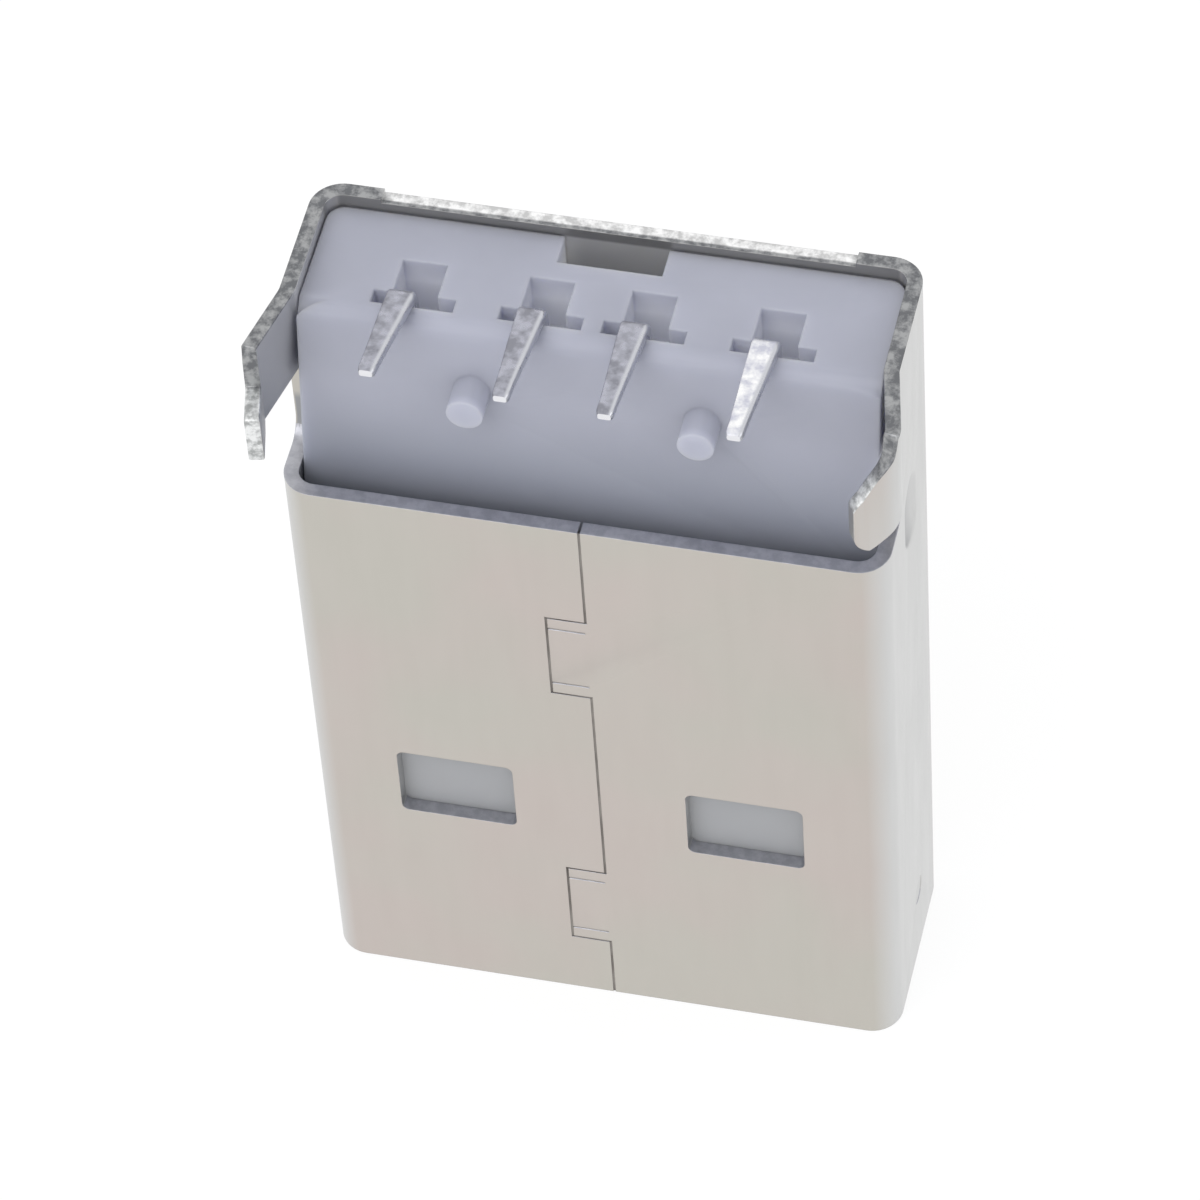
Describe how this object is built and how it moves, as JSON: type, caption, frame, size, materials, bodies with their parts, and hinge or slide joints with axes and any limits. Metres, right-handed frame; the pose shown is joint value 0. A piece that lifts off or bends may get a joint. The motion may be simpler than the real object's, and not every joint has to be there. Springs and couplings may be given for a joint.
{
  "type": "usb-a plug",
  "caption": "Board-mount rectangular cable-bus plug: folded steel shell with a seam and latch windows around a white insulator that holds flat contacts with bent solder tails.",
  "frame": {"origin": "centre of the shell's outline at the mouth rim", "axes": "+Z from the mouth to the solder end, -Y out of the seam wall and along the legs and tails, X across the width"},
  "size_m": [0.0128, 0.0053, 0.0191],
  "materials": {
    "shell_plating": "satin nickel plating on folded steel sheet",
    "insulator_plastic": "satin, slightly translucent white moulding",
    "contact_plating": "bright tin plating, slightly mottled on the tails"
  },
  "bodies": {
    "root": {"shell": "shell_plating", "insulator": "insulator_plastic", "outer_contact_left": "contact_plating", "inner_contact_left": "contact_plating", "inner_contact_right": "contact_plating", "outer_contact_right": "contact_plating"}
  },
  "joints": []
}
